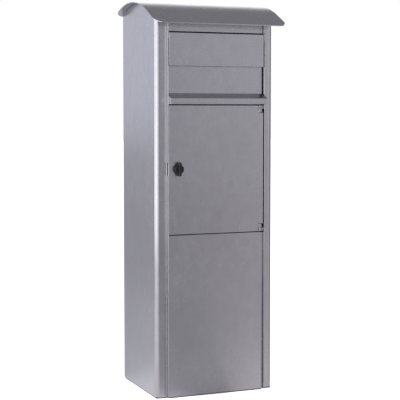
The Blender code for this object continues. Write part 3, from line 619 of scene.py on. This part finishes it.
def lock():
    """Round rose, knob with an upright wing, spindle behind."""
    rose_low, rose_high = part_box("lock_escutcheon")
    centre = middle("lock_escutcheon")
    axis = (centre.x, centre.z)
    y0, y1 = rose_low.y, rose_high.y
    outer = (rose_high.x - rose_low.x) / 2
    rose = turned("lock_rose", axis, [(ROSE_BORE_R, y1), (outer - 0.4 * MM, y1), (outer, y1 - 0.4 * MM),
                                      (outer, y1 - 1.6 * MM), (outer - 0.5 * MM, y1 - 2.6 * MM),
                                      (outer - 1.4 * MM, y0 + 0.5 * MM), (outer - 2.3 * MM, y0),
                                      (4.9 * MM, y0), (ROSE_BORE_R, y0 + 0.3 * MM)], steps=64)
    place(even_normals(rose), "door", "black_plastic", MAT["knob"], "lock_escutcheon")

    knob_low, knob_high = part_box("lock_knob")
    front, back = knob_low.y, y0 - 0.3 * MM
    face = front + KNOB_RELIEF
    body = turned("lock_knob_body", axis,
                  [(0.0, knob_high.y), (3.6 * MM, knob_high.y), (SPINDLE_R, knob_high.y - 0.4 * MM),
                   (SPINDLE_R, back), (KNOB_R - 0.8 * MM, back), (KNOB_R, back - 0.8 * MM),
                   (KNOB_R, face + 1.6 * MM), (KNOB_R - 0.5 * MM, face + 0.6 * MM),
                   (KNOB_R - 1.6 * MM, face), (KNOB_R - 4.0 * MM, face), (KNOB_R - 4.6 * MM, face + 0.5 * MM),
                   (0.0, face + 0.7 * MM)], steps=64)
    place(even_normals(body), "lock_turn", "black_plastic", MAT["knob"], "lock_knob")

    half_h = (knob_high.z - knob_low.z) / 2
    rings = []
    for level, inset in ((back - 1.5 * MM, 0.0), (face, 0.0), (front + 3 * MM, 0.3 * MM),
                         (front + 1.4 * MM, 0.8 * MM), (front + 0.5 * MM, 1.5 * MM), (front, 2.6 * MM)):
        outline = rounded_rectangle((centre.x - WING_HALF + inset, centre.x + WING_HALF - inset),
                                    (centre.z - half_h + inset, centre.z + half_h - inset),
                                    WING_HALF - inset - 0.1 * MM, 8)
        rings.append([(a, level, b) for a, b in outline])
    wing = from_rings("lock_knob_wing", rings)
    place(even_normals(wing), "lock_turn", "black_plastic", MAT["knob"])


# ---------------------------------------------------------------- springs

def torsion_spring(name, body, node, wire, coil_r, turns, start, leg):
    """Coil round a rod from a start angle, with a straight leg at each end."""
    low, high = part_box(node)
    centre = (low + high) / 2
    per_turn = 24
    x0, x1 = low.x + wire, high.x - wire
    path = []
    total = turns * per_turn
    for i in range(total + 1):
        angle = 2 * math.pi * i / per_turn + start
        path.append((x0 + (x1 - x0) * i / total, centre.y + coil_r * math.cos(angle),
                     centre.z + coil_r * math.sin(angle)))
    first, last = Vector(path[0]), Vector(path[-1])
    tangent = (Vector(path[1]) - first).normalized()
    tail = (Vector(path[-1]) - Vector(path[-2])).normalized()
    path.insert(0, tuple(first - tangent * leg))
    path.append(tuple(last + tail * leg))
    return place(swept_wire(name, path, wire), body, "zinc_steel", MAT["zinc"], node)


def springs():
    torsion_spring("gate_return_spring", "cabinet", "gate_spring", 0.8 * MM, 4.4 * MM, 9,
                   math.radians(180), 6 * MM)
    torsion_spring("hatch_closing_spring", "hatch", "hatch_spring", 0.6 * MM, 3.95 * MM, 12,
                   0.0, 0.1 * MM)


# ---------------------------------------------------------------- everything else from the CAD solids

def refined(node, body, slot, mat, width):
    """Same solid as a CAD node, with rounded edges and smooth round faces."""
    bm = bmesh.new()
    bm.from_mesh(frame["nodes"][node].data)
    bmesh.ops.remove_doubles(bm, verts=bm.verts, dist=0.002 * MM)
    bmesh.ops.dissolve_limit(bm, angle_limit=math.radians(1.0), verts=bm.verts, edges=bm.edges)
    obj = link(node + "_fine", bm)
    return place(soften(obj, width, 2), body, slot, mat, node)


def remaining_nodes():
    slots = {part["node"]: part["material_slot"] for part in frame["record"]["subparts"]}
    finish = {"inner_steel": "inner", "zinc_steel": "zinc", "black_rubber": "rubber", "base_steel": "base",
              "black_plastic": "knob", "outer_steel": "wall"}
    for body, members in frame["record"]["behaviour"]["bodies"].items():
        for node in members:
            if frame["nodes"][node].hide_render:
                continue
            width = INNER_EDGE if slots[node] == "inner_steel" else FITTING_EDGE
            refined(node, body, slots[node], MAT[finish[slots[node]]], width)


# ---------------------------------------------------------------- stage

# Brighter sectors of the floor: direction, cosine where each fades out and where it is full, added light
FLOOR_GLOW = (
    ((0.71, -0.71, 0.0), 0.88, 1.0, 0.30),
    ((-0.50, 0.87, 0.0), 0.70, 0.98, 0.15),
    ((-0.98, -0.20, 0.0), 0.50, 0.95, 0.38),
    ((0.38, 0.92, 0.0), 0.80, 0.98, 0.26),
)


def studio_floor():
    """Large pale floor whose far edge is out of sight; it glows, brightest near the cabinet and in set
    sectors, as painted pools of light that also light the cabinet.
    """
    bm = bmesh.new()
    reach = 30.0
    verts = [bm.verts.new((x, y, 0.0)) for x, y in ((-reach, -reach), (reach, -reach), (reach, reach),
                                                    (-reach, reach))]
    bm.faces.new(verts)
    floor = link("floor", bm)
    mat, tree, shader, coords = fresh("floor")
    shader.inputs["Base Color"].default_value = (0.80, 0.80, 0.81, 1.0)
    shader.inputs["Roughness"].default_value = 0.9
    seen = add(tree, "ShaderNodeLightPath").outputs["Is Camera Ray"]
    away = add(tree, "ShaderNodeVectorMath", {0: coords}, operation="LENGTH").outputs["Value"]
    # Painted pool of light round the cabinet: the glow falls from 0.08 at 0.15 m to nothing at 0.95 m.
    glow = remap(tree, away, 0.08, 0.0, (0.15, 0.95))
    bearing = add(tree, "ShaderNodeVectorMath", {0: coords}, operation="NORMALIZE").outputs["Vector"]
    for direction, begins, full, value in FLOOR_GLOW:
        lean = add(tree, "ShaderNodeVectorMath", {0: bearing, 1: direction}, operation="DOT_PRODUCT")
        glow = calc(tree, "ADD", glow, remap(tree, lean.outputs["Value"], 0.0, value, (begins, full)))
    # Painted light colour: the glow is warmer in front of the cabinet and cooler behind it.
    depth = add(tree, "ShaderNodeVectorMath", {0: bearing, 1: (0.0, 1.0, 0.0)}, operation="DOT_PRODUCT")
    side = remap(tree, depth.outputs["Value"], 0.0, 1.0, (-0.4, 0.4))
    tint = blend(tree, side, (1.0, 0.955, 0.935), (0.98, 0.985, 1.05))
    tree.links.new(tint, shader.inputs["Emission Color"])
    strength = calc(tree, "ADD", glow, calc(tree, "MULTIPLY", seen, 0.75))
    tree.links.new(strength, shader.inputs["Emission Strength"])
    floor.data.materials.append(mat)


# Soft light of the room: direction it comes from, cosine where it fades out and where it is full, colour
ROOM = (
    ((0.0, 0.0, 1.0), -0.30, -0.05, (0.26, 0.26, 0.28)),
    ((0.0, -1.0, 0.0), 0.30, 0.80, (0.14, 0.135, 0.15)),
    ((-0.35, 0.93, 0.03), 0.80, 0.99, (0.45, 0.46, 0.54)),
    ((0.38, 0.92, 0.0), 0.84, 0.99, (1.55, 1.55, 1.53)),
    ((0.71, -0.71, 0.0), 0.88, 1.0, (0.45, 0.44, 0.46)),
)


def studio_world():
    world = bpy.data.worlds.new("studio")
    world.use_nodes = True
    bpy.context.scene.world = world
    tree = world.node_tree
    tree.nodes.clear()
    direction = add(tree, "ShaderNodeTexCoord").outputs["Generated"]
    total = None
    for aim, low, high, colour in ROOM:
        aimed = Vector(aim).normalized()
        facing = add(tree, "ShaderNodeVectorMath", {0: direction, 1: tuple(aimed)}, operation="DOT_PRODUCT")
        amount = add(tree, "ShaderNodeMapRange", {"Value": facing.outputs["Value"], "From Min": low,
                                                  "From Max": high, "To Min": 0.0, "To Max": 1.0},
                     interpolation_type="SMOOTHSTEP").outputs["Result"]
        lobe = add(tree, "ShaderNodeVectorMath", {0: colour, "Scale": amount}, operation="SCALE").outputs[0]
        if total is None:
            total = lobe
        else:
            total = add(tree, "ShaderNodeVectorMath", {0: total, 1: lobe}, operation="ADD").outputs[0]
    seen = add(tree, "ShaderNodeLightPath").outputs["Is Camera Ray"]
    room = add(tree, "ShaderNodeBackground", {"Color": total, "Strength": 1.0}).outputs[0]
    backdrop = add(tree, "ShaderNodeBackground", {"Color": (1.0, 1.0, 1.0, 1.0), "Strength": 1.0}).outputs[0]
    mixed = add(tree, "ShaderNodeMixShader", {0: seen, 1: room, 2: backdrop}).outputs[0]
    add(tree, "ShaderNodeOutputWorld", {"Surface": mixed})


def softbox(name, spot, target, width, height, watts, colour=(1.0, 1.0, 1.0)):
    data = bpy.data.lights.new(name, "AREA")
    data.shape = "RECTANGLE"
    data.size = width
    data.size_y = height
    data.energy = watts
    data.color = colour
    lamp = bpy.data.objects.new(name, data)
    lamp.location = spot
    lamp.rotation_euler = (Vector(target) - Vector(spot)).to_track_quat("-Z", "Y").to_euler()
    lamp.visible_camera = False
    bpy.context.scene.collection.objects.link(lamp)


def lights():
    """Three soft boxes: near the camera, behind on the left, and to the left."""
    softbox("front_box", (-1.05, -2.35, 1.0), (0.0, -0.1, 0.75), 0.8, 1.7, 3.5, (0.98, 0.98, 1.0))
    softbox("rear_box", (-1.85, 0.85, 1.0), (0.0, 0.0, 0.75), 0.9, 1.6, 5.5, (0.96, 0.97, 1.0))
    softbox("left_box", (-2.0, -0.75, 1.0), (0.0, -0.1, 0.75), 2.6, 1.6, 17.5, (0.96, 0.97, 1.0))


def camera():
    data = bpy.data.cameras.new("camera")
    data.lens = LENS_MM
    data.shift_y = CROP
    data.clip_end = 100.0
    cam = bpy.data.objects.new("camera", data)
    cam.location = EYE
    cam.rotation_euler = (math.pi / 2 + TILT, 0.0, -HEADING)
    bpy.context.scene.collection.objects.link(cam)
    bpy.context.scene.camera = cam


camera()
studio_floor()
studio_world()
lights()
bpy.context.scene.view_settings.view_transform = "Standard"

side_walls()
roof()
fixed_panels()
hatch()
letter_flap()
door()
lock()
springs()
remaining_nodes()
